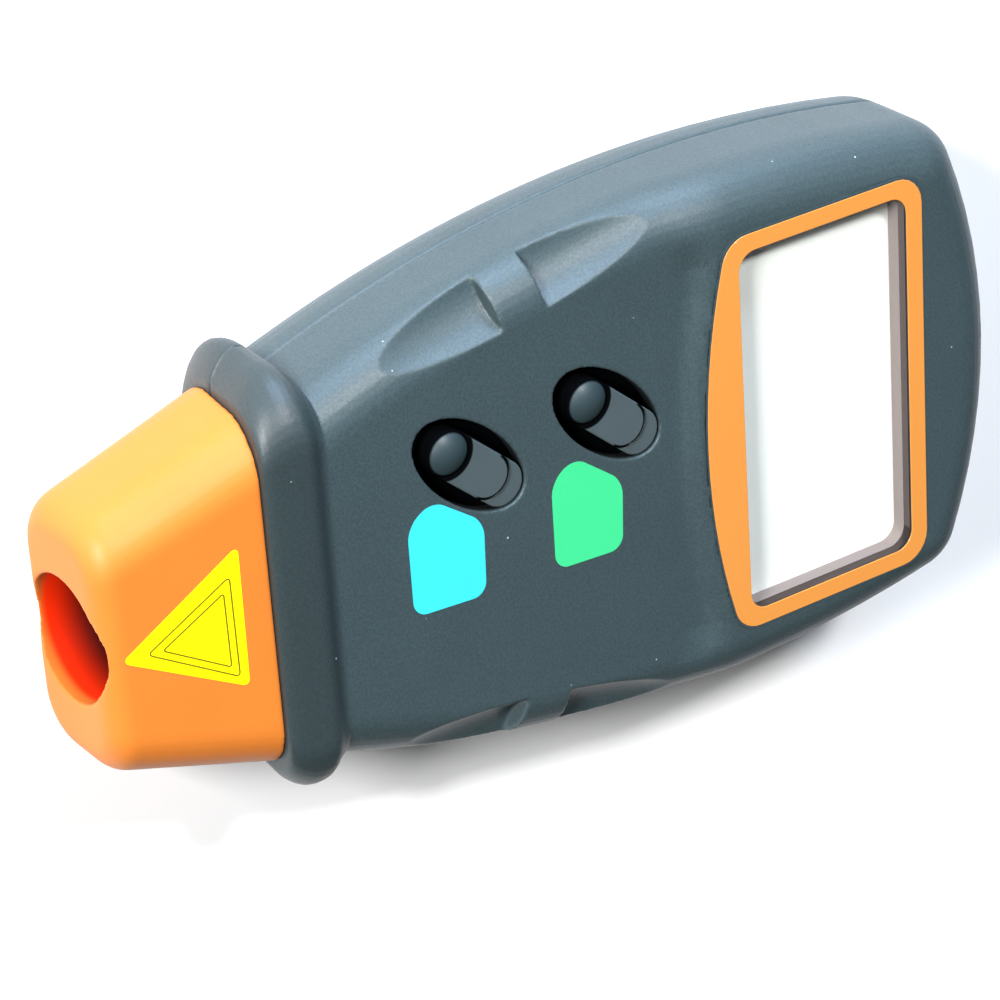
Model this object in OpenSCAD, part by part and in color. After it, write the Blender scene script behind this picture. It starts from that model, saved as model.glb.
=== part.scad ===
// Handheld laser tachometer, lying on its back with the display up.
// Millimetres: +Z leaves the front face, +Y points to the nose, +X is the right side.

/* [Housing] */
// Length from the display end to the tip of the nose
body_l = 131; // [126:1:138]
// Greatest width of the housing
body_w = 69; // [66:1:74]
// Thickness from the back to the top of the window border
body_t = 27; // [26.6:0.2:29]
// Height of the parting line above the back
parting_z = 12.5; // [12:0.25:13.5]
// Wall of the two shells
wall = 2; // [1.6:0.1:2.2]
// Thickness of the front wall behind the buttons
face_wall = 2.4; // [2:0.1:2.8]
// Radius of the long curved sides
side_r = 172; // [160:2:190]
// Distance from the display end to the widest place
widest_y = 43; // [40:1:46]
// Radius of the curved display end
end_r = 72; // [64:2:84]
// Radius of the two corners at the display end
corner_r = 7.5; // [6.5:0.5:11]
// Radius of the rounded front edge
front_edge_r = 6.5; // [5.5:0.5:7]
// How far the rounded back edge reaches in from the side
back_edge_in = 12; // [11:0.25:12.5]
// How high the rounded back edge climbs the side
back_edge_h = 12; // [11:0.25:12]
// Depth of the groove along the parting line
parting_groove = 0.3; // [0.1:0.05:0.4]

/* [Collar and nose] */
// Length of the nose in front of the collar
nose_l = 21.7; // [19:0.5:24]
// Width of the nose at the collar
nose_root_w = 46; // [44:0.5:47]
// Width of the nose at its tip
nose_tip_w = 32; // [28:0.5:34]
// Height of the nose's back above the rest plane, at the collar
nose_root_low = 3; // [2.8:0.1:4]
// Height of the nose's back above the rest plane, at the tip
nose_tip_low = 5.7; // [5:0.1:6]
// Drop of the nose's front below the button face, at the collar
nose_root_drop = 0.8; // [0.5:0.1:1.5]
// Drop of the nose's front below the button face, at the tip
nose_tip_drop = 2.1; // [1.5:0.1:3]
// Radius round the tip of the nose
tip_edge_r = 3; // [2:0.25:3.5]
// Diameter of the bore in the nose
nose_bore_d = 16; // [14:0.5:16.5]
// Height of the bore's axis above the back
bore_z = 14.5; // [14:0.25:15]
// Length of the raised collar
collar_l = 8.4; // [8:0.2:10]
// How far the collar stands out at the sides
collar_side = 3.3; // [2.8:0.1:3.6]
// How far the collar stands out at the front
collar_front = 1; // [0.6:0.1:1.3]
// Lean of the collar's nose side towards the back
collar_lean = 7; // [4:0.5:9]

/* [Display] */
// Rise of the display platform above the button face
platform_rise = 1.3; // [1:0.1:1.6]
// Length of the slope up to the platform
platform_slope = 3.2; // [2.5:0.1:4]
// Width of the window and its border
window_w = 54; // [50:0.5:56]
// Distance from the display end to the window
window_end = 13; // [11:0.5:14]
// Radius of the window's curved side
window_bulge_r = 90; // [70:1:110]
// Radius of the window's corners
window_corner_r = 4; // [3:0.5:5]
// Thickness of the window
lens_t = 1.65; // [1.2:0.05:1.8]
// Thickness of the coloured border on the window
border_t = 0.15; // [0.1:0.05:0.2]
// Width of the clear opening inside the border
view_w = 49.2; // [46:0.2:50]
// Length of the clear opening inside the border
view_l = 26.2; // [24:0.2:27]
// Width of the border at the display end
view_margin = 2.6; // [2:0.1:4]
// Width of the border at the middle of its curved side
border_bulge = 5.8; // [4.5:0.1:6.5]
// Radius of the clear opening's corners
view_corner_r = 2.5; // [1.5:0.5:3]
// Thickness of the display glass
glass_t = 2.2; // [1.8:0.1:2.4]

/* [Buttons] */
// Distance of the buttons' centres from the middle line
button_x = 9.4; // [8:0.2:11]
// Distance from the window to the test button
test_from_window = 13.7; // [13.2:0.1:15]
// Distance between the two buttons
button_pitch = 20.1; // [19.6:0.1:21]
// Turn of the buttons from the length of the housing
button_turn = 42; // [36:1:48]
// Length of the oval well round a button
well_l = 18.8; // [18.4:0.2:19.4]
// Width of the oval well round a button
well_w = 9.8; // [9:0.2:10.4]
// Length of a button
button_l = 16; // [15.2:0.2:16.2]
// Shift of a button from the middle of its well towards the low step
button_shift = 0.9; // [0.6:0.1:0.9]
// Width of a button
button_w = 5.9; // [5.2:0.1:6.1]
// Height of the domed end above the button face
dome_rise = 1.4; // [1.2:0.05:1.4]
// Height of the middle step above the button face
middle_rise = 0.4; // [0.3:0.05:0.6]
// Depth of the lowest step below the button face
low_drop = 0.1; // [0:0.05:0.3]
// Length of the lowest step that shows
low_step_l = 2.9; // [2.4:0.1:3.2]
// Travel of a button
button_travel = 0.7; // [0.4:0.05:0.75]

/* [Thumb scoops] */
// Depth of a scoop at the bridge
scoop_depth = 2.3; // [1.5:0.1:2.5]
// Turn of the scoops from straight down on the front face
scoop_turn = 36; // [30:1:45]
// Radius of a scoop across the edge
scoop_r = 8; // [7:0.25:9]
// Radius of a scoop along the edge
scoop_sweep_r = 120; // [100:2:150]
// Distance from the collar to the middle of the bridge
scoop_from_collar = 28; // [26:0.2:30]
// Width of the bridge between the two scoops
bridge_w = 6.5; // [5:0.25:8]

/* [Battery bay] */
// Width of the battery door
door_w = 32; // [30:0.5:34]
// Length of the battery door
door_l = 57; // [55:0.5:59]
// Thickness of the battery door
door_t = 2; // [1.8:0.1:2.2]
// Height of the door's lip at the display end
door_lip_h = 6; // [5:0.5:7]
// Thickness of the door's lip, from the very end of the housing
door_lip_l = 7.5; // [7:0.1:8]
// Width of the tongues along the door
tongue_w = 1.2; // [0.8:0.1:1.4]
// Thickness of the tongues along the door
tongue_t = 0.8; // [0.6:0.1:0.9]
// Length of the battery's can
battery_l = 45; // [43:0.5:46]
// Width of the battery
battery_w = 26.2; // [25:0.1:26.5]
// Thickness of the battery
battery_t = 15.8; // [15:0.1:15.9]

/* [Electronics] */
// Thickness of the circuit boards
board_t = 1.6; // [1:0.1:1.8]
// Distance from the button face to the top of the circuit board
board_depth = 5.5; // [5.4:0.05:5.6]
// Diameter of the light receiver's lens
receiver_d = 7.4; // [6.5:0.1:7.5]
// Diameter of the laser's barrel
laser_d = 3.6; // [3:0.1:3.7]

/* [Fasteners] */
// Diameter of the case screws
case_screw_d = 2.9; // [2.5:0.1:3.2]
// Diameter of a case screw's head
case_head_d = 5.4; // [5:0.1:5.8]
// Diameter of the board screws
board_screw_d = 2; // [1.6:0.1:2.3]

/* [Fits] */
// Gap between pieces that slide on each other
slide_gap = 0.3; // [0.2:0.05:0.4]
// Gap between pieces that are seated in each other
seat_gap = 0.1; // [0.05:0.05:0.2]

/* [Hidden] */

$fn = 48;
// Overshoot of a cut beyond the face that it opens
over = 1;
// Reach of a cutting block beyond the whole housing
reach = 2 * body_l;

// Main levels and stations
end_y = -body_l / 2;
tip_y = body_l / 2;
junction_y = tip_y - nose_l;
collar_y = junction_y - collar_l;
platform_z = body_t - border_t;
face_z = platform_z - platform_rise;
cavity_top = face_z - face_wall;
board_top = face_z - board_depth;
lens_low = platform_z - lens_t;

// Centres of the arcs that make the housing's outline
side_c = [body_w / 2 - side_r, end_y + widest_y];
end_c = [0, end_y + end_r];

// Window and display stations
window_low = end_y + window_end;
window_apex = window_low + view_margin + view_l + border_bulge;
bulge_c = [0, window_apex - window_bulge_r];
view_low = window_low + view_margin;
view_mid = view_low + view_l / 2;
window_rim = 0.4;
side_slope = 9;
bezel_out = 1.1;
backplate_t = 1;
strip_w = 2;
strip_room = 2.6;

// Stations of the buttons
test_at = [button_x, window_apex + test_from_window];
memory_at = test_at + [0, button_pitch];
plunger_d = 2.6;
flange_t = 0.8;
flange_out = 0.5;
switch_w = 6;
plunger_in = 0.15;
flange_top = cavity_top - slide_gap;
flange_low = flange_top - flange_t;
switch_top = flange_low - button_travel - 2 * seat_gap;
step_groove_r = 0.35;

// Stations of the collar's inside
tunnel_y = junction_y - 4;
tunnel_half = 17.5;
tunnel_low = bore_z - 8;
tunnel_high = cavity_top - 1.1;
lip_room = 1.1;
collar_low = 0.5;
collar_back_r = 11;
collar_front_r = 8.5;
nose_back_r = 9;
nose_front_r = 7;
lip_t = 1;
lip_out = 0.8;

// Stations of the battery bay and the sensor
door_y = end_y + door_l;
bay_y = end_y + door_lip_l + slide_gap;
tongue_end = door_y - 4;
battery_low = door_t + 0.5;
battery_y = bay_y + 0.3;
stud_h = 2.4;
stud_half = 6.35;
stud_d = 5.6;
socket_d = 7.6;
snap_w = 11;
snap_t = stud_h + 1.4;
snap_y = battery_y + battery_l;
sensor_board_y = tunnel_y - 4.4;
sensor_board_w = 22;
sensor_board_h = 14;
sensor_board_low = 8;
holder_y = sensor_board_y + board_t;
holder_d = 13.4;
holder_front = junction_y + 2;
holder_l = holder_front - holder_y;
lens_in = 3;
receiver_x = -2.4;
laser_x = 4.3;

// Places of the screws
case_front_y = collar_y - 5;
case_front_x = side_x(case_front_y, 6.4);
case_end_y = end_y + 11;
case_end_x = side_x(case_end_y, 8);
case_screw_at = [[case_front_x, case_front_y], [-case_front_x, case_front_y],
    [case_end_x, case_end_y], [-case_end_x, case_end_y]];
case_post = 2.4;
head_post = 3;
// side, station and inset from the outline of each board screw
board_screw_spots = [[1, test_at.y + 12.1, 10.8], [-1, collar_y - 15, 8],
    [-1, window_apex + 7.3, 12], [1, window_apex + 5.3, 12]];
board_screw_at = [for (s = board_screw_spots) [s[0] * side_x(s[1], s[2]), s[1]]];
board_post = 3;
board_head_d = board_screw_d + 1.8;
board_head_t = 1.2;
case_head_z = 5.6;
case_head_t = 2;
case_thread = 7.5;
board_thread = 2.6;
screw_end = 0.4;

// Sizes of the circuit board and the parts on it
board_in = 3.8;
board_back = 2.5;
board_notch = 4;
chip_x = -12;
chip_y = test_at.y + 3.6;
chip_w = 10;
chip_t = 1.4;
chip_pins = 7;
pin_l = 1.2;
pin_w = 0.5;
pin_t = 0.4;
crystal_x = -2;
crystal_l = 10;
crystal_w = 4;
crystal_t = 2.2;

// Finishes
dark_grey = [0.22, 0.25, 0.26];
orange = [1.0, 0.5, 0.13];

// Point where two circles meet, on the right of the way from the first centre to the second
function circles_meet(p, r, q, s) =
    let (d = norm(q - p), u = (q - p) / d, a = (r * r - s * s + d * d) / (2 * d))
    p + a * u + sqrt(r * r - a * a) * [u.y, -u.x];

// Direction of a vector
function angle(v) = atan2(v.y, v.x);

// Steps from one number to another, without the first
function steps(from, to, count) = [for (i = [1:count]) from + (to - from) * i / count];

// Rise from 0 to 1 with soft ends
function soft(t) = let (s = min(1, max(0, t))) s * s * (3 - 2 * s);

// Height of the front face: button face, display platform and a slope between them, longer at the sides
function top_z(x, y) =
    let (past = norm([x, y] - bulge_c) - window_bulge_r - window_rim)
    let (run = platform_slope + side_slope * soft((abs(x) - window_w / 2) / side_slope + 0.5))
    face_z + platform_rise * soft(1 - past / run);

// Half width of the housing at a station, inside the outline by an inset
function side_x(y, inset) = side_c.x + sqrt(pow(side_r - inset, 2) - pow(y - side_c.y, 2));

// Right half of the housing's outline from a station near the collar to the display end
function half_outline(inset, start, fine) =
    let (corner = max(corner_r - inset, 0.5), side = side_r - inset, end = end_r - inset)
    let (corner_c = circles_meet(side_c, side - corner, end_c, end - corner))
    let (side_a = angle(corner_c - side_c), end_a = angle(corner_c - end_c))
    let (last = side_c.y + side * sin(side_a))
    let (slope_top = window_apex + platform_slope + 6, slope_low = slope_top - 18)
    let (stations = fine
        ? concat([start], steps(start, slope_top, 12), steps(slope_top, slope_low, 17),
            steps(slope_low, last, 5))
        : concat([start], steps(start, last, 9)))
    concat(
        [for (y = stations) [side_x(y, inset), y]],
        [for (a = steps(side_a, end_a, fine ? 9 : 4)) corner_c + corner * [cos(a), sin(a)]],
        [for (a = steps(end_a, -90, fine ? 6 : 4)) end_c + end * [cos(a), sin(a)]]);

// Whole outline, closed by a straight line at its start
function outline(inset, start, fine) =
    let (half = half_outline(inset, start, fine), n = len(half))
    concat(half, [for (i = [n - 2:-1:0]) [-half[i].x, half[i].y]]);

// Rounded rectangle across the housing at a station along it, with its low side set back by a slope
function cross_ring(y, half, low, high, low_r, high_r, slope, count) =
    let (corners = [[-half + high_r, high - high_r, high_r, 90], [-half + low_r, low + low_r, low_r, 180],
        [half - low_r, low + low_r, low_r, 270], [half - high_r, high - high_r, high_r, 0]])
    [for (c = corners) for (i = [0:count]) let (a = c[3] + 90 * i / count, z = c.y + c[2] * sin(a))
        [c.x + c[2] * cos(a), y - slope * (face_z - z), z]];

// Outline of the window, inside its border by an inset
function window_outline(inset) =
    let (r = window_corner_r - inset, half = window_w / 2 - inset, cx = half - r)
    let (low = window_low + inset + r, big = window_bulge_r - inset)
    let (high = bulge_c.y + sqrt(pow(big - r, 2) - cx * cx), turn = atan2(high - bulge_c.y, cx))
    concat(
        [for (a = concat([-90], steps(-90, 0, 6))) [cx, low] + r * [cos(a), sin(a)]],
        [for (a = concat([0], steps(0, turn, 6))) [cx, high] + r * [cos(a), sin(a)]],
        [for (a = steps(turn, 180 - turn, 14)) bulge_c + big * [cos(a), sin(a)]],
        [for (a = steps(180 - turn, 180, 6)) [-cx, high] + r * [cos(a), sin(a)]],
        [for (a = concat([180], steps(180, 270, 6))) [-cx, low] + r * [cos(a), sin(a)]]);

// Oval with its long axis along Y
function oval(length, width) = [for (a = [0:9:351]) [width / 2 * cos(a), length / 2 * sin(a)]];

// Side faces between rings that run the same way, as pairs of triangles
function side_faces(rings, n) = [for (k = [0:rings - 2]) for (i = [0:n - 1])
    let (j = (i + 1) % n, a = k * n + i, b = k * n + j)
    each [[a, b, b + n], [a, b + n, a + n]]];

// Solid through a row of rings, closed by a flat face at each end
module loft(rings) {
    n = len(rings[0]);
    m = len(rings);
    polyhedron(
        points = [for (ring = rings) each ring],
        faces = concat(side_faces(m, n), [[for (i = [n - 1:-1:0]) i]],
            [[for (i = [0:n - 1]) (m - 1) * n + i]]));
}

// Outside of the front half: side wall, rounded edge and the face that rises to the display
module front_outside(start) {
    edge_steps = 9;
    columns = 16;
    angles = [for (i = [0:edge_steps]) 90 * i / edge_steps];
    foot = [[parting_groove, parting_z], [0, parting_z + parting_groove]];
    feet = [for (f = foot) [for (p = outline(f[0], start, true)) [p.x, p.y, f[1]]]];
    edges = [for (a = angles) [for (p = outline(front_edge_r * (1 - cos(a)), start, true))
        [p.x, p.y, top_z(p.x, p.y) - front_edge_r * (1 - sin(a))]]];
    rings = concat(feet, edges);
    n = len(rings[0]);
    m = len(rings);
    rows = (n - 1) / 2;
    last = (m - 1) * n;
    rim = rings[m - 1];
    inner = [for (i = [0:rows - 1]) for (j = [1:columns - 1])
        let (x = rim[i].x * (1 - 2 * j / columns)) [x, rim[i].y, top_z(x, rim[i].y)]];
    // number of the grid point in row i and column j
    function spot(i, j) = i == rows ? last + rows : j == 0 ? last + i : j == columns ? last + n - 1 - i
        : m * n + i * (columns - 1) + j - 1;
    grid = [for (i = [0:rows - 1]) for (j = [0:columns - 1])
        each (i < rows - 1
            ? [[spot(i, j), spot(i + 1, j), spot(i + 1, j + 1)],
                [spot(i, j), spot(i + 1, j + 1), spot(i, j + 1)]]
            : [[spot(i, j), spot(rows, 0), spot(i, j + 1)]])];
    walls = [for (k = [0:m - 2]) for (i = [0:n - 2]) let (a = k * n + i)
        each [[a, a + 1, a + 1 + n], [a, a + 1 + n, a + n]]];
    ends = [for (k = [0:m - 3]) let (a = k * n)
        each [[a + n - 1, a, a + n], [a + n - 1, a + n, a + 2 * n - 1]]];
    end_top = [concat([last - 1, last - n], [for (j = [0:columns]) spot(0, j)])];
    polyhedron(
        points = concat([for (ring = rings) each ring], inner),
        faces = concat(walls, ends, end_top, grid, [[for (i = [n - 1:-1:0]) i]]));
}

// Outside of the back half: the rounded edge from the flat back up to the parting line
module rear_outside(start) {
    edge_steps = 9;
    angles = [for (i = [0:edge_steps]) 90 - 90 * i / edge_steps];
    levels = concat(
        [for (a = angles) [back_edge_in * (1 - cos(a)), back_edge_h * (1 - sin(a))]],
        [[0, parting_z - parting_groove], [parting_groove, parting_z]]);
    loft([for (l = levels) [for (p = outline(l[0], start, true)) [p.x, p.y, l[1]]]]);
}

// Space inside the front half, with a broad chamfer behind the thumb scoops
module front_space() {
    chamfer = 6;
    levels = [[wall, parting_z - over], [wall, cavity_top - chamfer], [wall + chamfer, cavity_top]];
    loft([for (l = levels) [for (p = outline(l[0], collar_y, false)) [p.x, p.y, l[1]]]]);
}

// Space inside the back half, following its rounded edge
module rear_space() {
    levels = [[wall + 7, door_t + slide_gap], [wall + 3.5, 5], [wall + 1, 9], [wall, parting_z + over]];
    loft([for (l = levels) [for (p = outline(l[0], collar_y, false)) [p.x, p.y, l[1]]]]);
}

// Raised ring in front of the hands, both halves together
module collar_ring() {
    root = side_x(collar_y, 0);
    half = root + collar_side;
    high = face_z + collar_front;
    // station along the collar, inset at the sides and drop at the front
    profile = [[0, 2.4, 1], [0.1, 1.6, 0.75], [0.2, 0.8, 0.25], [0.27, 0.4, 0.03], [0.33, 0.2, 0],
        [0.46, 0, 0.1], [0.6, 0.3, 0.25], [0.74, 1.1, 0.42], [0.86, 2.1, 0.62], [0.95, 3.1, 0.9],
        [1, 3.9, 1.3]];
    loft([for (p = profile) cross_ring(collar_y + p[0] * collar_l, half - p[1],
        collar_low + (p[0] < 0.5 ? 0 : p[1] / 2), high - p[2],
        collar_back_r - p[1] * 0.3, collar_front_r - p[1] * 0.6, p[0] * tan(collar_lean), 10)]);
}

// Upper or lower half space, at the parting line
module above() translate([-reach / 2, -reach / 2, parting_z]) cube([reach, reach, reach]);
module below() translate([-reach / 2, -reach / 2, parting_z - reach]) cube([reach, reach, reach]);

// Room for the nose's plug and its lip inside the collar
module collar_tunnel() {
    translate([-tunnel_half, tunnel_y - over, tunnel_low])
        cube([2 * tunnel_half, junction_y - tunnel_y + 2 * over, tunnel_high - tunnel_low]);
    translate([-tunnel_half - lip_room, collar_y - 2, tunnel_low - lip_room])
        cube([2 * (tunnel_half + lip_room), tunnel_y - collar_y + 2,
            tunnel_high - tunnel_low + 2 * lip_room]);
}

// Cutter for the pair of thumb scoops on the right edge, with the bridge left standing
module scoop_pair() {
    y = collar_y - scoop_from_collar;
    lean = asin((y - side_c.y) / side_r);
    inset = front_edge_r * (1 - sin(scoop_turn));
    drop = front_edge_r * (1 - cos(scoop_turn));
    sweep = 30;
    translate([side_x(y, inset), y, face_z - drop]) rotate([0, 0, lean]) rotate([0, scoop_turn - 90, 0])
        translate([scoop_sweep_r - scoop_depth, 0, 0]) difference() {
            rotate([0, 0, 180 - sweep / 2]) rotate_extrude(angle = sweep)
                translate([scoop_sweep_r - scoop_r, 0]) circle(scoop_r);
            translate([-scoop_sweep_r - over, -bridge_w / 2, -scoop_sweep_r])
                cube([scoop_sweep_r, bridge_w, 2 * scoop_sweep_r]);
        }
}

// Places a piece in the frame of a button, long axis along the button
module at_button(at) translate([at.x, at.y, 0]) rotate([0, 0, -button_turn]) children();

// Round-ended bar standing on a level, from one end to the other along Y
module pill(from, to, width, low, high) {
    translate([0, from + width / 2, low]) cylinder(d = width, h = high - low);
    translate([0, to - width / 2, low]) cylinder(d = width, h = high - low);
    translate([-width / 2, from + width / 2, low]) cube([width, to - from - width, high - low]);
}

// Plate with the rounded rectangle of the display
module view_plate(grow, radius, low, high) {
    half = view_w / 2 + grow;
    translate([0, view_mid, low]) linear_extrude(high - low) {
        square([2 * half, view_l + 2 * (grow - radius)], center = true);
        square([2 * (half - radius), view_l + 2 * grow], center = true);
        for (x = [-1, 1], y = [-1, 1]) translate([x * (half - radius), y * (view_l / 2 + grow - radius)])
            circle(radius);
    }
}

module front_shell() color(dark_grey) difference() {
    union() {
        front_outside(collar_y + 2);
        intersection() {
            collar_ring();
            above();
        }
    }
    // the screw posts are left standing in the space
    difference() {
        front_space();
        for (at = case_screw_at) translate([at.x, at.y, parting_z])
            cylinder(d = case_screw_d + case_post, h = body_t);
        for (at = board_screw_at) translate([at.x, at.y, board_top])
            cylinder(d = board_screw_d + board_post, h = body_t);
    }
    for (side = [0, 1]) mirror([side, 0, 0]) scoop_pair();
    for (at = [memory_at, test_at]) at_button(at) translate([0, 0, cavity_top - over])
        linear_extrude(face_wall + platform_rise + 2 * over) polygon(oval(well_l, well_w));
    collar_tunnel();
    translate([0, 0, lens_low]) linear_extrude(lens_t + over) polygon(window_outline(0));
    view_plate(bezel_out + seat_gap, view_corner_r, board_top, lens_low + over);
    for (at = case_screw_at) translate([at.x, at.y, parting_z - over])
        cylinder(d = case_screw_d + seat_gap, h = case_thread + over);
    for (at = board_screw_at) translate([at.x, at.y, board_top - over])
        cylinder(d = board_screw_d + seat_gap, h = board_thread + over);
}

// Slot in the back that the door slides along, with room for its tongues
module door_slot() {
    half = door_w / 2 + slide_gap;
    translate([-half, end_y - over, -over])
        cube([2 * half, door_l + over + slide_gap, door_t + over + slide_gap]);
    translate([-half, end_y - over, -over])
        cube([2 * half, bay_y - end_y + over, door_lip_h + over + slide_gap]);
    translate([-half - tongue_w, end_y - over, door_t - tongue_t - slide_gap])
        cube([2 * (half + tongue_w), tongue_end - end_y + slide_gap + over, tongue_t + 2 * slide_gap]);
}

module rear_shell() {
    rail_w = 3.2;
    rail_h = 7;
    color(dark_grey) difference() {
        union() {
            rear_outside(collar_y + 2);
            intersection() {
                collar_ring();
                below();
            }
        }
        // the screw posts, the door's rails and the cross rib are left standing in the space
        difference() {
            rear_space();
            for (at = case_screw_at) translate([at.x, at.y, 0])
                cylinder(d = case_head_d + head_post, h = parting_z);
            for (side = [-1, 1]) translate([side * (door_w / 2 + 0.6) - rail_w / 2, end_y, 0])
                cube([rail_w, door_l + 2, rail_h]);
            translate([-door_w / 2 - 2, door_y + 1, 0]) cube([door_w + 4, 1.6, rail_h]);
        }
        collar_tunnel();
        door_slot();
        translate([-battery_w / 2 - 0.5, bay_y - over, door_t])
            cube([battery_w + 1, door_y - bay_y + over, parting_z]);
        for (at = case_screw_at) translate([at.x, at.y, 0]) {
            translate([0, 0, -over]) cylinder(d = case_head_d + 2 * seat_gap, h = case_head_z + over);
            cylinder(d = case_screw_d + 4 * seat_gap, h = parting_z + over);
        }
    }
}

module battery_door() {
    ribs = 5;
    rib_pitch = 2.2;
    rib_w = 1;
    rib_depth = 0.6;
    grip_w = 14;
    grip_y = 14;
    color(dark_grey) difference() {
        union() {
            intersection() {
                rear_outside(collar_y + 2);
                union() {
                    translate([-door_w / 2, end_y - over, -over])
                        cube([door_w, door_l + over, door_t + over]);
                    translate([-door_w / 2, end_y - over, -over])
                        cube([door_w, door_lip_l + over, door_lip_h + over]);
                }
            }
            translate([-door_w / 2 - tongue_w + slide_gap, bay_y + 6, door_t - tongue_t])
                cube([door_w + 2 * (tongue_w - slide_gap), tongue_end - bay_y - 6, tongue_t]);
        }
        for (i = [0:ribs - 1]) translate([-grip_w / 2, door_y - grip_y + i * rib_pitch, -over])
            cube([grip_w, rib_w, over + rib_depth]);
    }
}

module nose_cone() {
    root = junction_y;
    flat = tip_y - tip_edge_r;
    tip_steps = 8;
    // share of the way from the collar to the tip at a station
    function way(y) = (y - root) / nose_l;
    function half(y) = (nose_root_w + (nose_tip_w - nose_root_w) * way(y)) / 2;
    function low(y) = nose_root_low + (nose_tip_low - nose_root_low) * way(y);
    function high(y) = face_z - nose_root_drop - (nose_tip_drop - nose_root_drop) * way(y);
    function ring(y, in) = cross_ring(y, half(y) - in, low(y) + in, high(y) - in,
        nose_back_r - 2.5 * way(y) - in, nose_front_r - 0.5 * way(y) - in,
        (1 - way(y)) * tan(collar_lean), 10);
    rounding = [for (i = [0:tip_steps]) let (a = 90 * i / tip_steps)
        ring(flat + tip_edge_r * sin(a), tip_edge_r * (1 - cos(a)))];
    plug_back = tunnel_y - lip_t - 2 * seat_gap;
    color(orange) difference() {
        union() {
            loft(concat([ring(root, 0)], rounding));
            translate([-tunnel_half + seat_gap, plug_back, tunnel_low + seat_gap])
                cube([2 * (tunnel_half - seat_gap), root - plug_back + over,
                    tunnel_high - tunnel_low - 2 * seat_gap]);
            translate([-tunnel_half - lip_out, plug_back, tunnel_low - lip_out])
                cube([2 * (tunnel_half + lip_out), lip_t, tunnel_high - tunnel_low + 2 * lip_out]);
        }
        along_bore(0, plug_back - over, nose_l + reach, holder_d + 2 * seat_gap);
        along_bore(0, holder_front, nose_l, nose_bore_d);
    }
}

module window_lens() color([0.9, 0.95, 0.95, 0.35]) translate([0, 0, lens_low])
    linear_extrude(lens_t) polygon(window_outline(seat_gap));

module window_border() color(orange) difference() {
    translate([0, 0, platform_z]) linear_extrude(border_t) polygon(window_outline(seat_gap));
    view_plate(0, view_corner_r, platform_z - over, platform_z + over);
}

module lcd_bezel() color([0.75, 0.75, 0.73]) difference() {
    view_plate(bezel_out, view_corner_r, board_top + backplate_t + glass_t, lens_low);
    view_plate(seat_gap, view_corner_r, board_top, lens_low + over);
}

module lcd_panel() color([0.78, 0.82, 0.76])
    view_plate(bezel_out - seat_gap, 0.4, board_top + backplate_t, board_top + backplate_t + glass_t);

module lcd_backplate() color([0.92, 0.92, 0.9])
    translate([-view_w / 2, view_low + strip_room, board_top])
        cube([view_w, view_l - 2 * strip_room, backplate_t]);

module lcd_connectors() color([0.85, 0.45, 0.5]) for (side = [-1, 1])
    translate([-view_w / 2, view_mid + side * (view_l / 2 - 0.8) - strip_w / 2, board_top])
        cube([view_w, strip_w, backplate_t]);

module circuit_board() color([0.1, 0.4, 0.2]) difference() {
    translate([0, 0, board_top - board_t]) linear_extrude(board_t)
        polygon(outline(wall + board_in, collar_y - board_back, false));
    // corners cut away round the posts of the case screws
    for (at = case_screw_at) translate([at.x + sign(at.x) * (body_w / 2 - board_notch), at.y, board_top])
        translate([0, sign(at.y) * (body_l / 2 - board_notch), 0])
            cube([body_w, body_l, body_t], center = true);
    for (at = board_screw_at) translate([at.x, at.y, board_top - board_t - over])
        cylinder(d = board_screw_d + 4 * seat_gap, h = board_t + 2 * over);
}

module controller_chip() color([0.12, 0.12, 0.13]) translate([chip_x, chip_y, board_top]) {
    translate([-chip_w / 2, 0, 0]) cube([chip_w, chip_w, chip_t]);
    for (i = [0:chip_pins - 1])
        translate([-chip_w / 2 - pin_l, (i + 0.5) * chip_w / chip_pins - pin_w / 2, 0])
            cube([chip_w + 2 * pin_l, pin_w, pin_t]);
}

module crystal() color([0.75, 0.76, 0.78]) translate([crystal_x, collar_y - 14, 0])
    pill(0, crystal_l, crystal_w, board_top, board_top + crystal_t);

// Half ring cut into a button's step, round the low side of the next higher step
module step_groove(y, level) translate([0, y, level]) rotate([0, 0, 180]) rotate_extrude(angle = 180)
    translate([button_w / 2, 0]) circle(step_groove_r);

// Button with a wide foot under the front wall and three steps up to a domed end
module stepped_button(at) color([0.16, 0.18, 0.2]) at_button(at) {
    low_end = -button_l / 2 - button_shift;
    high_end = button_l / 2 - button_shift;
    middle_end = low_end + low_step_l;
    low_z = face_z - low_drop;
    middle_z = face_z + middle_rise;
    dome_y = high_end - button_w / 2;
    dome_r = button_w * 0.68;
    dome_top = face_z + dome_rise;
    translate([0, 0, flange_low]) linear_extrude(flange_t)
        polygon(oval(well_l + 2 * flange_out, well_w + 2 * flange_out));
    difference() {
        pill(low_end, high_end, button_w, flange_low, low_z);
        step_groove(middle_end + button_w / 2, low_z);
    }
    difference() {
        pill(middle_end, high_end, button_w, flange_low, middle_z);
        step_groove(dome_y, middle_z);
    }
    intersection() {
        translate([0, dome_y, flange_low]) cylinder(d = button_w, h = dome_top - flange_low + over);
        translate([0, dome_y, dome_top - dome_r]) sphere(dome_r);
    }
}

module memory_button() stepped_button(memory_at);
module test_button() stepped_button(test_at);

module switch_plunger(at) color([0.2, 0.2, 0.22]) translate([at.x, at.y, switch_top - plunger_in])
    cylinder(d = plunger_d, h = flange_low - switch_top + plunger_in);
module memory_plunger() switch_plunger(memory_at);
module test_plunger() switch_plunger(test_at);

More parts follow.
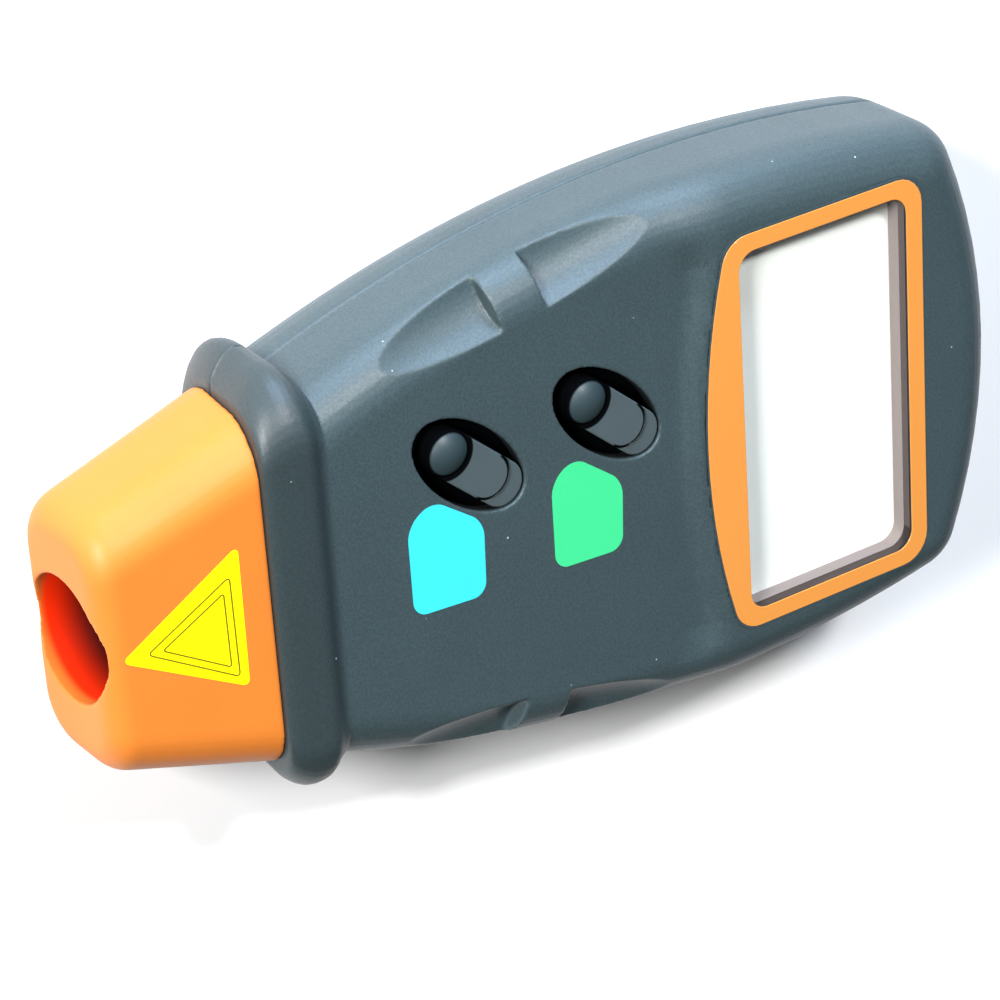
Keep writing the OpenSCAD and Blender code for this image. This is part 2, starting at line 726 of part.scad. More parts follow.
module push_switch(at) color([0.7, 0.7, 0.72]) translate([at.x, at.y, board_top]) difference() {
    translate([-switch_w / 2, -switch_w / 2, 0]) cube([switch_w, switch_w, switch_top - board_top]);
    translate([0, 0, -over]) cylinder(d = plunger_d + 2 * slide_gap, h = switch_top - board_top + 2 * over);
}
module memory_switch() push_switch(memory_at);
module test_switch() push_switch(test_at);

module sensor_board() color([0.1, 0.4, 0.2])
    translate([-sensor_board_w / 2, sensor_board_y, bore_z - sensor_board_low])
        cube([sensor_board_w, board_t, sensor_board_h]);

// Cylinder along the bore of the nose
module along_bore(x, from, length, diameter) translate([x, from, bore_z]) rotate([-90, 0, 0])
    cylinder(d = diameter, h = length);

module sensor_holder() color([0.1, 0.1, 0.11]) difference() {
    along_bore(0, holder_y, holder_l, holder_d);
    along_bore(receiver_x, holder_y - over, holder_l + 2 * over, receiver_d + 2 * seat_gap);
    along_bore(laser_x, holder_y - over, holder_l + 2 * over, laser_d + 2 * seat_gap);
}

module receiver_lens() {
    rim = 1.2;
    bulge = 1.6;
    ball_r = (receiver_d * receiver_d / 4 + bulge * bulge) / (2 * bulge);
    color([0.8, 0.9, 0.95, 0.5]) translate([receiver_x, holder_front - lens_in, bore_z]) rotate([-90, 0, 0])
        intersection() {
            cylinder(d = receiver_d, h = rim + bulge);
            translate([0, 0, rim + bulge - ball_r]) sphere(ball_r);
        }
}

module photodiode() {
    can_d = 4.4;
    can_l = 3;
    color([0.2, 0.18, 0.22]) translate([receiver_x, holder_y, bore_z]) rotate([-90, 0, 0]) {
        cylinder(d = can_d + 0.8, h = 1);
        cylinder(d = can_d, h = can_l);
        translate([0, 0, can_l]) sphere(d = can_d);
    }
}

module laser_module() color([0.8, 0.65, 0.3]) difference() {
    along_bore(laser_x, holder_y, holder_l - 0.6, laser_d);
    along_bore(laser_x, holder_front - lens_in, lens_in, laser_d / 2);
}

module battery() {
    edge_r = 2;
    mid_z = battery_low + battery_t / 2;
    color([0.55, 0.57, 0.6]) {
        translate([0, battery_y, mid_z]) rotate([-90, 0, 0]) linear_extrude(battery_l) {
            square([battery_w - 2 * edge_r, battery_t], center = true);
            square([battery_w, battery_t - 2 * edge_r], center = true);
            for (x = [-1, 1], z = [-1, 1])
                translate([x * (battery_w / 2 - edge_r), z * (battery_t / 2 - edge_r)]) circle(edge_r);
        }
        translate([-stud_half, battery_y + battery_l, mid_z]) rotate([-90, 0, 0])
            cylinder(d = stud_d, h = stud_h);
        translate([stud_half, battery_y + battery_l, mid_z]) rotate([-90, 0, 0])
            cylinder(d = socket_d, h = stud_h, $fn = 6);
    }
}

module battery_snap() {
    mid_z = battery_low + battery_t / 2;
    color([0.08, 0.08, 0.09]) difference() {
        translate([0, snap_y + 2 * seat_gap, mid_z]) rotate([-90, 0, 0]) linear_extrude(snap_t) {
            square([2 * stud_half, snap_w], center = true);
            for (x = [-1, 1]) translate([x * stud_half, 0]) circle(d = snap_w);
        }
        for (x = [-1, 1]) translate([x * stud_half, snap_y - over, mid_z]) rotate([-90, 0, 0])
            cylinder(d = socket_d + 4 * seat_gap, h = stud_h + 2 * seat_gap + over);
    }
}

// Lead from the battery's snap, forwards and up to the circuit board
module lead(x) {
    wire_d = 1.4;
    bend_r = 3;
    start_y = snap_y + snap_t + 2 * seat_gap;
    mid_z = battery_low + battery_t / 2;
    translate([x, start_y, mid_z]) rotate([-90, 0, 0]) cylinder(d = wire_d, h = 2);
    translate([x, start_y + 2, mid_z + bend_r]) rotate([-90, 0, 90]) rotate_extrude(angle = 90)
        translate([bend_r, 0]) circle(d = wire_d);
    translate([x, start_y + 2 + bend_r, mid_z + bend_r])
        cylinder(d = wire_d, h = board_top - board_t - mid_z - bend_r);
}
module red_lead() color([0.8, 0.1, 0.1]) lead(3);
module black_lead() color([0.1, 0.1, 0.1]) lead(-3);

// Screw with a flat head below and its shank upwards
module screw(at, head_z, shank_d, head_d, head_t, length) translate([at.x, at.y, head_z]) difference() {
    union() {
        cylinder(d = head_d, h = head_t);
        cylinder(d = shank_d, h = head_t + length);
    }
    for (turn = [0, 90]) rotate([0, 0, turn]) translate([-head_d * 0.32, -0.4, -over])
        cube([head_d * 0.64, 0.8, over + head_t * 0.55]);
}

module case_screws() color([0.6, 0.62, 0.64]) for (at = case_screw_at)
    screw(at, case_head_z - case_head_t, case_screw_d, case_head_d, case_head_t,
        parting_z - case_head_z + case_thread - screw_end);

module board_screws() color([0.75, 0.76, 0.78]) for (at = board_screw_at)
    screw(at, board_top - board_t - board_head_t, board_screw_d, board_head_d, board_head_t,
        board_t + board_thread - screw_end);

front_shell();
rear_shell();
battery_door();
nose_cone();
window_lens();
window_border();
lcd_bezel();
lcd_panel();
lcd_backplate();
lcd_connectors();
circuit_board();
controller_chip();
crystal();
memory_button();
memory_plunger();
memory_switch();
test_button();
test_plunger();
test_switch();
sensor_board();
sensor_holder();
receiver_lens();
photodiode();
laser_module();
battery();
battery_snap();
red_lead();
black_lead();
case_screws();
board_screws();
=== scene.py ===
# %% [markdown]
# A handheld laser tachometer, dressed for a studio picture.
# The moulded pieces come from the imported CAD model, which is the frame: it gives every size and place.
# This script gives them soft moulded edges and finishes, adds the printing, and sets up floor, light and camera.

# %% Load the frame
import math

import bpy
from mathutils import Matrix, Vector


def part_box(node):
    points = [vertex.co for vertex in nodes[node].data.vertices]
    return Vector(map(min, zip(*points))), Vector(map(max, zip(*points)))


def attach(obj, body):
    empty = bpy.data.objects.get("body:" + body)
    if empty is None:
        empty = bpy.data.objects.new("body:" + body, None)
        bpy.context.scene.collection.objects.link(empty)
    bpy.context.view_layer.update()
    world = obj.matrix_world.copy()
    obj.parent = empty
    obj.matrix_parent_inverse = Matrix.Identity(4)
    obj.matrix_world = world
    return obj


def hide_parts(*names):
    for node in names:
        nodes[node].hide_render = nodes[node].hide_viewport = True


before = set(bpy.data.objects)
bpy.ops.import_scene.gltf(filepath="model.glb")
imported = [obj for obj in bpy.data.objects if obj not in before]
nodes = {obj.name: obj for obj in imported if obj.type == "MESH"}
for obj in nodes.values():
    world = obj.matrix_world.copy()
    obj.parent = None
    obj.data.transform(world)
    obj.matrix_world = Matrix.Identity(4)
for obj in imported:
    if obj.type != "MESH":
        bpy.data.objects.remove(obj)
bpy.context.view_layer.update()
MM = 0.001

# %% [markdown]
# The camera comes first, because everything is judged through it.
# It could be placed by eye, but then no edge would line up with the picture. So its place and lens were worked out
# from the outline of the housing: a long lens, about half a metre away, looking down on the display face from the
# nose side. The three vectors below are the camera's own axes.

# %% Camera
LENS, SENSOR_WIDTH = 147.07, 36.0
CAMERA_AT = Vector((228.53, 246.80, 384.29)) * MM
CAMERA_RIGHT = Vector((-0.0632, -0.8164, 0.5740))
CAMERA_UP = Vector((0.8832, -0.3136, -0.3488))
CAMERA_BACK = Vector((0.4648, 0.4849, 0.7409))

camera_data = bpy.data.cameras.new("camera")
camera_data.lens = LENS
camera_data.sensor_width = SENSOR_WIDTH
camera_data.clip_start = 10 * MM
camera = bpy.data.objects.new("camera", camera_data)
bpy.context.collection.objects.link(camera)
turn = Matrix((CAMERA_RIGHT.normalized(), CAMERA_UP.normalized(), CAMERA_BACK.normalized())).transposed()
camera.matrix_world = Matrix.Translation(CAMERA_AT) @ turn.to_4x4()
bpy.context.scene.camera = camera
print("camera distance in mm:", round(CAMERA_AT.length / MM))

# %% [markdown]
# Every finish here is made of shader nodes, with no image. Nodes could be added and linked one by one, but the sums
# would be hard to read. So a Value wraps one output socket, and plus, minus, times, divide and power on Values add
# the Math nodes. A Finish holds one material, and its node() method adds any other node.


# %% Shader helpers
class Value:
    """One output socket in a material's node tree."""

    def __init__(self, finish, socket):
        self.finish, self.socket = finish, socket

    def math(self, operation, *others):
        return self.finish.node("ShaderNodeMath", {"operation": operation}, dict(enumerate((self, *others))))

    def __add__(self, other):
        return self.math("ADD", other)

    def __sub__(self, other):
        return self.math("SUBTRACT", other)

    def __mul__(self, other):
        return self.math("MULTIPLY", other)

    def __truediv__(self, other):
        return self.math("DIVIDE", other)

    def __pow__(self, other):
        return self.math("POWER", other)

    def larger(self, other):
        return self.math("MAXIMUM", other)

    def ramp(self, low, high, to_low=0.0, to_high=1.0):
        """Runs smoothly from to_low to to_high while this value goes from low to high."""
        settings = {"interpolation_type": "SMOOTHSTEP"}
        return self.finish.node("ShaderNodeMapRange", settings, {0: self, 1: low, 2: high, 3: to_low, 4: to_high})

    def fade(self, low, high):
        """Runs smoothly from 1 down to 0 while this value goes from low to high."""
        return self.ramp(low, high, 1.0, 0.0)


class Finish:
    """One material, built up from nodes on Object coordinates."""

    def __init__(self, name):
        self.material = bpy.data.materials.new(name)
        self.material.use_nodes = True
        self.tree = self.material.node_tree
        self.tree.nodes.clear()

    def node(self, kind, settings=None, inputs=None, output=0):
        made = self.tree.nodes.new(kind)
        for name, value in (settings or {}).items():
            setattr(made, name, value)
        for key, value in (inputs or {}).items():
            if isinstance(value, Value):
                self.tree.links.new(value.socket, made.inputs[key])
            else:
                made.inputs[key].default_value = value
        return Value(self, made.outputs[output]) if made.outputs else None

    def place(self):
        return self.node("ShaderNodeTexCoord", output="Object")

    def axis(self, name):
        return self.node("ShaderNodeSeparateXYZ", inputs={0: self.place()}, output=name)

    def noise(self, size, detail=2.0, roughness=0.5):
        """Noise from 0 to 1 with blots of about this size in millimetres."""
        inputs = {"Vector": self.place(), "Scale": 1.0 / (size * MM), "Detail": detail, "Roughness": roughness}
        return self.node("ShaderNodeTexNoise", inputs=inputs)

    def specks(self, apart, radius):
        """1 in rare round specks of this radius, from a cloud of points this far apart, both in millimetres."""
        inputs = {"Vector": self.place(), "Scale": 1.0 / (apart * MM)}
        return self.node("ShaderNodeTexVoronoi", inputs=inputs).fade(radius / apart * 0.6, radius / apart)

    def mix(self, share, first, second):
        return self.node("ShaderNodeMix", {"data_type": "RGBA"}, {0: share, 6: first, 7: second}, output=2)

    def bump(self, height, depth):
        """A normal from a height of 0 to 1 that stands for this depth in millimetres."""
        return self.node("ShaderNodeBump", inputs={"Height": height, "Distance": depth * MM, "Strength": 1.0})

    def plastic(self, **sockets):
        """Principled surface; keys are socket names with _ for a space."""
        inputs = {key.replace("_", " "): value for key, value in sockets.items()}
        return self.node("ShaderNodeBsdfPrincipled", inputs=inputs)

    def done(self, shader):
        self.node("ShaderNodeOutputMaterial", inputs={"Surface": shader})
        print("finish:", self.material.name, "with", len(self.tree.nodes), "nodes")
        return self.material


def rgb(red, green, blue):
    """A colour typed as it looks on the screen, from 0 to 255, as the linear colour that shaders use."""
    return (*(((c / 255 + 0.055) / 1.055) ** 2.4 if c > 10 else c / 3294.6 for c in (red, green, blue)), 1.0)


def shade(colour, share):
    """The same colour with this share of its light."""
    return (*(c * share for c in colour[:3]), 1.0)


# %% [markdown]
# The housing is dark blue-grey ABS with a very fine spark-eroded grain. Up close it is slightly mottled, its gloss
# varies a little, and a few specks of dust sit on it. The collar round the nose has painted shade, which makes it a
# shade darker. The walls of the two button wells see hardly any light, so they are painted near-black as painted
# shade.
# They could be a material of their own, but then its edge would follow the mesh. Here a sum finds them: a well is an
# oval, and the sum in in_well() is 1 on its wall and larger outside it.

# %% Housing plastic
FACE_Z = 25.55 * MM
WELL_LENGTH, WELL_WIDTH, WELL_TURN = 18.8 * MM, 9.8 * MM, math.radians(42)
WELL_RIM = (FACE_Z - 0.9 * MM, FACE_Z - 0.1 * MM)
WELL_FOOT = (FACE_Z - 7.0 * MM, FACE_Z - 6.0 * MM)
TEST_AT, MEMORY_AT = Vector((9.4, -4.2)) * MM, Vector((9.4, 15.9)) * MM
COLLAR_FROM, COLLAR_FULL, COLLAR_SHADE_SHARE = 34.6 * MM, 36.4 * MM, 0.45


def well_frame(finish, at):
    """Distances along and across a well, from its middle."""
    x, y = finish.axis("X") - at.x, finish.axis("Y") - at.y
    along = x * math.sin(WELL_TURN) + y * math.cos(WELL_TURN)
    return along, x * math.cos(WELL_TURN) - y * math.sin(WELL_TURN)


def in_well(finish, at):
    along, across = well_frame(finish, at)
    far = (along / (WELL_LENGTH / 2)) ** 2 + (across / (WELL_WIDTH / 2)) ** 2
    return far.fade(1.06, 1.2)


def at_both(finish, mask):
    """A mask that is drawn round each of the two buttons."""
    return mask(finish, TEST_AT).larger(mask(finish, MEMORY_AT))


def housing_finish():
    finish = Finish("housing_plastic")
    drift, grain = finish.noise(14.0, 3.0), finish.noise(0.32, 2.0, 0.6)
    base = finish.mix(drift * 0.4 + grain.ramp(0.3, 0.7) * 0.6, rgb(60, 75, 79), rgb(44, 58, 61))
    # painted shade: the collar is made darker than the rest of the housing
    collar = finish.axis("Y").ramp(COLLAR_FROM, COLLAR_FULL, 0.0, COLLAR_SHADE_SHARE)
    base = finish.mix(collar, base, rgb(24, 29, 28))
    height = finish.axis("Z")
    # painted shade: the walls of the wells are made near-black
    wells = at_both(finish, in_well) * (height.fade(*WELL_RIM) * height.ramp(*WELL_FOOT))
    base = finish.mix(wells, base, rgb(14, 18, 20))
    base = finish.mix(finish.specks(5.0, 0.16), base, rgb(170, 182, 184))
    rough = drift * 0.06 + grain * 0.12 + 0.38
    return finish.done(finish.plastic(Base_Color=base, Roughness=rough, Normal=finish.bump(grain, 0.02)))


housing_plastic = housing_finish()

# %% [markdown]
# The buttons are a smoother plastic. Their steps are painted lighter and the dome at one end darker, as painted light
# and shade. The foot under each one is painted black as shade, so the gap round a button looks bottomless. So is the
# groove under each step: two round arcs, one about the dome and one about the end of the middle step, and also the
# end past the dome. The grooves are cut in the mesh, and the painted black mixed in with the Mix Shader keeps stray
# gloss out of them.

# %% Button plastic
DOME_AT, STEP_AT = 4.15 * MM, -3.05 * MM
DOME_EDGE = (2.5 * MM, 2.8 * MM)
DOME_GROOVE = (2.45 * MM, 2.75 * MM, 3.4 * MM, 3.65 * MM)
STEP_GROOVE = (2.6 * MM, 2.75 * MM, 3.2 * MM, 3.4 * MM)
STEP_SIDE = (-3.4 * MM, -2.8 * MM)
PAST_DOME, BUTTON_END = (3.2 * MM, 4.4 * MM), (5.5 * MM, 6.0 * MM)
FOOT = (FACE_Z - 2.3 * MM, FACE_Z - 2.0 * MM)


def from_point(finish, at, point):
    """Distance from a point on a button's middle line, and the distance along that line."""
    along, across = well_frame(finish, at)
    return ((along - point) ** 2 + across ** 2) ** 0.5, along


def on_dome(finish, at):
    return from_point(finish, at, DOME_AT)[0].fade(*DOME_EDGE)


def in_groove(finish, at):
    dome, along = from_point(finish, at, DOME_AT)
    step, along = from_point(finish, at, STEP_AT)
    past_dome = along.ramp(*PAST_DOME) * dome.fade(*BUTTON_END)
    round_dome = dome.fade(*DOME_GROOVE[2:]).larger(past_dome) * dome.ramp(*DOME_GROOVE[:2])
    round_step = step.ramp(*STEP_GROOVE[:2]) * step.fade(*STEP_GROOVE[2:])
    return round_dome.larger(round_step * along.fade(*STEP_SIDE))


def button_finish():
    finish = Finish("button_plastic")
    drift, grain = finish.noise(6.0, 2.0), finish.noise(0.3, 2.0, 0.6)
    # painted light and shade: the steps are made lighter and the dome darker
    base = finish.mix(drift * 0.5 + grain * 0.3, rgb(73, 85, 88), rgb(58, 69, 72))
    shaded_domes = at_both(finish, on_dome)
    base = finish.mix(shaded_domes, base, rgb(40, 54, 58))
    rough = grain * 0.1 + shaded_domes * 0.08 + 0.32
    skin = finish.plastic(Base_Color=base, Roughness=rough, Normal=finish.bump(grain, 0.006))
    # painted shade: black is mixed in at the feet, in the grooves and past the dome
    gap = finish.plastic(Base_Color=rgb(4, 5, 6), Roughness=0.9, Specular_IOR_Level=0.0)
    dark = finish.axis("Z").fade(*FOOT).larger(at_both(finish, in_groove))
    return finish.done(finish.node("ShaderNodeMixShader", inputs={0: dark, 1: skin, 2: gap}))


button_plastic = button_finish()

# %% [markdown]
# The nose is satin orange plastic that lets some light through. In its round bore that light turns red. Scattering
# below the surface could give this, but it is slow and noisy, so the bore's wall gets a deeper colour with painted
# shade, darker towards the sensor at its end, and a faint painted red glow behind its lip that fades the same way.

# %% Orange nose
BORE_Z, BORE_R = 14.5 * MM, 8.0 * MM
TIP_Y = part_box("nose_cone")[1][1]
WALL_EDGE = (BORE_R + 0.15 * MM, BORE_R + 0.5 * MM)
LIP = (TIP_Y - 2.2 * MM, TIP_Y - 0.8 * MM)
LIT_WALL = (TIP_Y - 10.0 * MM, TIP_Y - 1.5 * MM)
BLACK, RED_LIGHT = (0.0, 0.0, 0.0, 1.0), (1.0, 0.03, 0.0, 1.0)


def nose_finish():
    finish = Finish("nose_plastic")
    drift, grain = finish.noise(10.0, 3.0), finish.noise(0.4, 2.0, 0.6)
    x, y, z = finish.axis("X"), finish.axis("Y"), finish.axis("Z") - BORE_Z
    from_axis = (x * x + z * z) ** 0.5
    in_bore = from_axis.fade(*WALL_EDGE) * y.fade(*LIP)
    painted_light_near_tip = y.ramp(*LIT_WALL) ** 2.0
    outside = finish.mix(drift * 0.5 + grain * 0.2, rgb(204, 118, 45), rgb(197, 110, 39))
    # painted shade: the bore's wall darkens away from the tip
    wall = finish.mix(painted_light_near_tip, rgb(12, 1, 1), rgb(205, 36, 2))
    # painted light: a red glow on the bore's wall near the tip
    glow = finish.mix(in_bore * painted_light_near_tip, BLACK, RED_LIGHT)
    base = finish.mix(in_bore, outside, wall)
    rough = drift * 0.06 + grain * 0.08 + 0.42
    return finish.done(finish.plastic(Base_Color=base, Roughness=rough, Specular_IOR_Level=0.3,
                                      Emission_Color=glow, Emission_Strength=0.3,
                                      Normal=finish.bump(grain, 0.006)))


nose_plastic = nose_finish()

# %% [markdown]
# The smaller finishes follow one pattern each. Ink is flat colour with a faint screen-print texture and a slight
# gloss, and it also serves for paint and coated boards. Metal is brushed a little.
# The window is clear plastic. Glass with refraction would be true too, but it darkens what is behind it, so the
# window is a mix of see-through and gloss, and the gloss grows towards a flat view.


# %% Inks, clear plastic and metals
def ink(name, colour, rough=0.4, coat=0.0):
    finish = Finish(name)
    grain = finish.noise(0.5, 2.0)
    base = finish.mix(grain * 0.35, colour, shade(colour, 0.85))
    shader = finish.plastic(Base_Color=base, Roughness=grain * 0.1 + (rough - 0.05), Coat_Weight=coat,
                            Normal=finish.bump(grain, 0.002))
    return finish.done(shader)


def plain_plastic(name, colour, rough):
    finish = Finish(name)
    drift, grain = finish.noise(5.0, 2.0), finish.noise(0.3, 2.0, 0.6)
    base = finish.mix(drift * 0.5 + grain * 0.3, colour, shade(colour, 0.7))
    shader = finish.plastic(Base_Color=base, Roughness=grain * 0.14 + rough, Normal=finish.bump(grain, 0.008))
    return finish.done(shader)


def clear_finish(name):
    finish = Finish(name)
    gloss = finish.node("ShaderNodeBsdfGlossy", inputs={"Roughness": 0.05})
    through = finish.node("ShaderNodeBsdfTransparent", inputs={"Color": (0.99, 0.995, 0.99, 1.0)})
    facing = finish.node("ShaderNodeLayerWeight", inputs={"Blend": 0.5}, output="Facing")
    return finish.done(finish.node("ShaderNodeMixShader", inputs={0: facing ** 5.0 + 0.035, 1: through, 2: gloss}))


def metal(name, colour, rough):
    finish = Finish(name)
    lines = finish.noise(0.3, 3.0)
    base = finish.mix(lines * 0.4, colour, shade(colour, 0.75))
    return finish.done(finish.plastic(Base_Color=base, Metallic=1.0, Roughness=lines * 0.15 + rough))


black_plastic = plain_plastic("black_plastic", rgb(26, 26, 28), 0.42)
border_ink = ink("border_ink", rgb(212, 138, 64), 0.2, 0.5)
blue_ink = ink("blue_ink", rgb(57, 202, 214))
green_ink = ink("green_ink", rgb(60, 200, 130))
yellow_ink = ink("yellow_ink", rgb(238, 235, 4))
line_ink = ink("line_ink", rgb(110, 92, 6), 0.5)
display_face = ink("display_face", rgb(246, 248, 245), 0.3)
display_frame = ink("display_frame", rgb(138, 126, 124), 0.5)
window_clear = clear_finish("window_clear")
board_green = ink("board_green", rgb(30, 110, 60), 0.3)
strip_pink = ink("strip_pink", rgb(222, 130, 140), 0.6)
can_grey = ink("can_grey", rgb(140, 145, 152), 0.3)
wire_red = ink("wire_red", rgb(200, 30, 30))
steel = metal("steel", rgb(200, 202, 206), 0.25)
brass = metal("brass", rgb(214, 176, 92), 0.22)

# %% [markdown]
# The CAD mouldings have sharp edges and flat facets, and real moulded plastic has neither. A bevel can't follow edges
# where so many small faces meet. So each visible moulding is copied and rebuilt on a fine grid by a Remesh modifier,
# a few passes of Smooth turn its edges soft, and Decimate thins the grid again where the surface is flat. The copy
# then stands for the node.


# %% Soft copies of the mouldings
def deselect():
    if bpy.context.object and bpy.context.object.mode != "OBJECT":
        bpy.ops.object.mode_set(mode="OBJECT")
    bpy.ops.object.select_all(action="DESELECT")


def copy_of(node):
    """A merged copy of a CAD node, selected and active."""
    deselect()
    piece = bpy.data.objects.new(node + "_skin", nodes[node].data.copy())
    bpy.context.collection.objects.link(piece)
    piece.select_set(True)
    bpy.context.view_layer.objects.active = piece
    bpy.ops.object.mode_set(mode="EDIT")
    bpy.ops.mesh.select_all(action="SELECT")
    bpy.ops.mesh.remove_doubles(threshold=0.002 * MM)
    bpy.ops.object.mode_set(mode="OBJECT")
    return piece


def apply(piece, kind, **settings):
    modifier = piece.modifiers.new(kind.lower(), kind)
    for name, value in settings.items():
        setattr(modifier, name, value)
    bpy.ops.object.modifier_apply(modifier=modifier.name)


def stands_for(piece, node, material, body):
    piece.data.materials.clear()
    piece.data.materials.append(material)
    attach(piece, body)
    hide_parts(node)
    print(piece.name, sum(len(p.vertices) - 2 for p in piece.data.polygons), "triangles")


def soft_copy(node, material, body, grid, passes, keep):
    """Grid is the size of its cells in millimetres, and keep the share of triangles that stays."""
    piece = copy_of(node)
    apply(piece, "REMESH", mode="VOXEL", voxel_size=grid * MM)
    apply(piece, "SMOOTH", factor=0.5, iterations=passes)
    apply(piece, "DECIMATE", ratio=keep)
    bpy.ops.object.shade_smooth()
    apply(piece, "WEIGHTED_NORMAL")
    stands_for(piece, node, material, body)


soft_copy("front_shell", housing_plastic, "housing", 0.22, 6, 0.18)
soft_copy("rear_shell", housing_plastic, "housing", 0.35, 4, 0.3)
soft_copy("battery_door", housing_plastic, "battery_door", 0.2, 3, 0.3)
soft_copy("nose_cone", nose_plastic, "housing", 0.2, 16, 0.5)
soft_copy("memory_button", button_plastic, "memory_button", 0.12, 4, 0.5)
soft_copy("test_button", button_plastic, "test_button", 0.12, 4, 0.5)

# %% [markdown]
# The window's border and the screws are small and plain, so they keep their CAD shape, and a narrow bevel gives them
# the thin bright edge of a real part.


# %% Pieces with a bevelled edge
def bevelled_copy(node, material, body, width):
    """Width is that of the bevel, in millimetres."""
    piece = copy_of(node)
    apply(piece, "DECIMATE", decimate_type="DISSOLVE", angle_limit=math.radians(1.0))
    apply(piece, "BEVEL", width=width * MM, segments=2, limit_method="ANGLE", angle_limit=math.radians(40))
    bpy.ops.object.shade_smooth_by_angle(angle=math.radians(35))
    apply(piece, "WEIGHTED_NORMAL", keep_sharp=True)
    stands_for(piece, node, material, body)


bevelled_copy("window_border", border_ink, "housing", 0.06)
bevelled_copy("case_screws", steel, "housing", 0.15)

# %% [markdown]
# The soft edge of the housing leaves a thin dark gap round the border. A finer grid would narrow it, at the cost of
# many triangles. A seat closes it instead: a copy of the border, a little wider and a little lower, in the housing's
# plastic.

# %% Seat under the border
SEAT_GROWTH, SEAT_DROP = 1.012, 0.08 * MM

seat = copy_of("window_border")
seat.name = "border_seat"
low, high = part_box("window_border")
middle = (low[1] + high[1]) / 2
for vertex in seat.data.vertices:
    x, y, z = vertex.co
    vertex.co = (x * SEAT_GROWTH, middle + (y - middle) * SEAT_GROWTH, z - SEAT_DROP)
seat.data.materials.clear()
seat.data.materials.append(housing_plastic)
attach(seat, "housing")
print("seat:", len(seat.data.polygons), "faces")

# %% [markdown]
# Every other node is hidden, or shows only through the window. Such a node keeps its CAD mesh and only gets its
# finish.

# %% Finishes of the other nodes
finish_of = {
    "window_lens": window_clear, "lcd_bezel": display_frame, "lcd_panel": display_face,
    "lcd_backplate": display_frame, "lcd_connectors": strip_pink, "circuit_board": board_green,
    "sensor_board": board_green, "controller_chip": black_plastic, "crystal": steel,
    "memory_plunger": black_plastic, "test_plunger": black_plastic, "memory_switch": steel,
    "test_switch": steel, "sensor_holder": black_plastic, "receiver_lens": window_clear,
    "photodiode": black_plastic, "laser_module": brass, "battery": can_grey, "battery_snap": black_plastic,
    "red_lead": wire_red, "black_lead": black_plastic, "board_screws": steel,
}
for name, material in finish_of.items():
    mesh = nodes[name].data
    mesh.materials.clear()
    mesh.materials.append(material)
print("CAD nodes with a finish:", len(finish_of))

# %% [markdown]
# Beside each button a field of coloured ink is printed on the face. It could be a mask in the housing's material, but
# a piece of its own keeps a crisp edge at any distance. A field starts as a flat polygon, its corners are rounded by
# a vertex bevel, and it is extruded by the thickness of the ink so that it has real edges.

# %% Printed fields
INK_T = 0.04 * MM
FIELD_CORNER = 1.9


def field(name, corners, radius, material, level, line=None):
    """A flat print with round corners; level gives its height, and line leaves only a line of that width."""
    deselect()
    bpy.ops.mesh.primitive_circle_add(vertices=len(corners), fill_type="NGON", radius=1.0)
    piece = bpy.context.object
    piece.name = name
    for vertex, (x, y) in zip(piece.data.vertices, corners):
        vertex.co = (x * MM, y * MM, level(y * MM))
    bpy.ops.object.mode_set(mode="EDIT")
    bpy.ops.mesh.select_all(action="SELECT")
    bpy.ops.mesh.bevel(offset=radius * MM, offset_type="OFFSET", segments=8, affect="VERTICES")
    bpy.ops.mesh.select_all(action="SELECT")
    if line:
        bpy.ops.mesh.inset(thickness=line * MM, depth=0.0)
        bpy.ops.mesh.delete(type="FACE")
        bpy.ops.mesh.select_all(action="SELECT")
    bpy.ops.mesh.extrude_region_move(TRANSFORM_OT_translate={"value": (0, 0, INK_T)})
    bpy.ops.mesh.select_all(action="SELECT")
    bpy.ops.mesh.normals_make_consistent(inside=False)
    bpy.ops.object.mode_set(mode="OBJECT")
    piece.data.materials.append(material)
    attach(piece, "housing")
    print(piece.name, len(piece.data.polygons), "faces")


def on_face(y):
    return FACE_Z


memory_corners = [(-7.62, 25.23), (-8.3, 14.87), (1.58, 14.52), (6.73, 21.53), (4.34, 25.24)]
test_corners = [(-8.75, 4.64), (-9.33, -5.39), (-0.07, -5.87), (5.32, 1.03), (3.01, 4.56)]
field("memory_field", memory_corners, FIELD_CORNER, blue_ink, on_face)
field("test_field", test_corners, FIELD_CORNER, green_ink, on_face)

# %% [markdown]
# A plain yellow triangle is stuck on the front of the nose, with two thin lines printed round it.
# The front of the nose slopes down to the tip, so the height of each corner follows that slope. The lines are the
# same triangle again, made smaller, and hollowed by an inset whose inner face is deleted.

# %% Yellow triangle
NOSE_ROOT_Y, NOSE_L = 43.8 * MM, 21.7 * MM
NOSE_ROOT_DROP, NOSE_TIP_DROP = 0.8 * MM, 2.1 * MM
LINE_W = 0.16


def on_nose(y):
    return FACE_Z - NOSE_ROOT_DROP - (NOSE_TIP_DROP - NOSE_ROOT_DROP) * (y - NOSE_ROOT_Y) / NOSE_L


def above_sticker(y):
    return on_nose(y) + INK_T


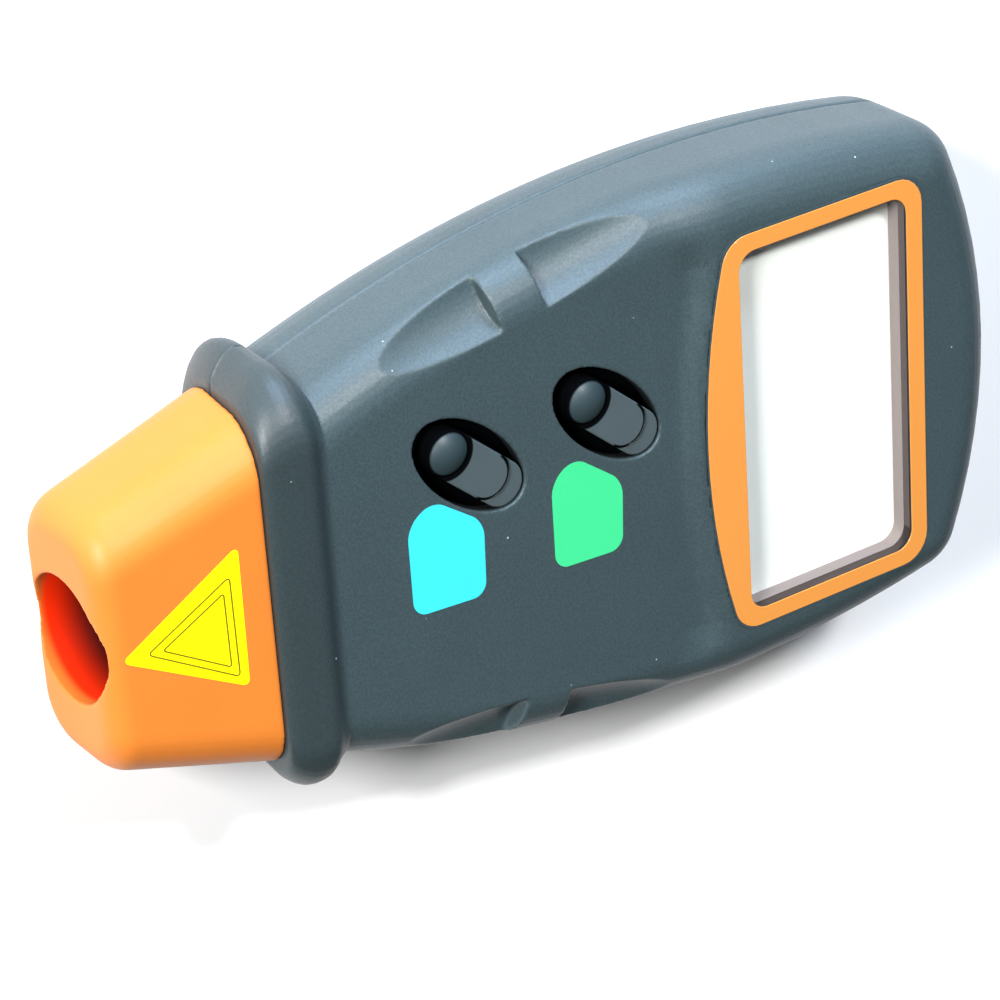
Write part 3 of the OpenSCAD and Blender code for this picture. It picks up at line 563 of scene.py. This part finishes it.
field("triangle_sticker", [(-0.05, 63.42), (9.79, 47.4), (-8.69, 47.65)], 1.1, yellow_ink, on_nose)
field("outer_line", [(-0.1, 60.23), (6.39, 48.8), (-7.09, 48.73)], 0.8, line_ink, above_sticker, LINE_W)
field("inner_line", [(-0.23, 58.3), (4.54, 49.74), (-5.48, 49.69)], 0.6, line_ink, above_sticker, LINE_W)

# %% [markdown]
# The floor is a wide sheet of pale paper with a very faint glow, so that it stays white outside the shadows. A dim
# sky fills the shadows.

# %% Floor and sky
FLOOR_SIZE, FLOOR_GLOW, SKY_STRENGTH = 6.0, 0.05, 0.04
WHITE = (1.0, 1.0, 1.0, 1.0)

deselect()
bpy.ops.mesh.primitive_plane_add(size=FLOOR_SIZE, location=(0, 0, 0))
floor = bpy.context.object
floor.name = "floor"
paper = Finish("floor_paper")
paper_colour = paper.mix(paper.noise(3.0, 3.0) * 0.2, shade(WHITE, 0.95), shade(WHITE, 0.92))
floor.data.materials.append(paper.done(paper.plastic(
    Base_Color=paper_colour, Roughness=0.9, Emission_Color=WHITE, Emission_Strength=FLOOR_GLOW)))

world = bpy.data.worlds.new("studio")
bpy.context.scene.world = world
world.use_nodes = True
world.node_tree.nodes["Background"].inputs["Color"].default_value = (0.95, 0.98, 1.0, 1.0)
world.node_tree.nodes["Background"].inputs["Strength"].default_value = SKY_STRENGTH
print("floor in m:", FLOOR_SIZE)

# %% [markdown]
# One big light would be the usual start, but the picture's shadow is dark only along the near edge, which takes two.
# The key light stands past the nose, a smaller and higher light stands on the +X side, and their shadows meet there.
# A low, bluish light on the +X side makes the bright band along the upper fillet.


# %% Light
def panel(name, place, size, power, colour=WHITE[:3]):
    """A square light that faces the origin; place and size in metres, power in watts."""
    data = bpy.data.lights.new(name, "AREA")
    data.shape, data.size, data.energy, data.color = "SQUARE", size, power, colour
    light = bpy.data.objects.new(name, data)
    bpy.context.collection.objects.link(light)
    light.location = place
    light.rotation_euler = (-Vector(place)).to_track_quat("-Z", "Y").to_euler()
    print(name, "at", round(Vector(place).length, 2), "m")


panel("key_light", (0.548, 0.844, 0.58), 0.26, 24.0)
panel("high_light", (0.752, -0.066, 0.868), 0.14, 11.2)
panel("side_light", (1.05, -0.2, 0.2), 0.6, 21.0, (0.55, 0.74, 1.0))
bpy.context.scene.view_settings.view_transform = "Standard"
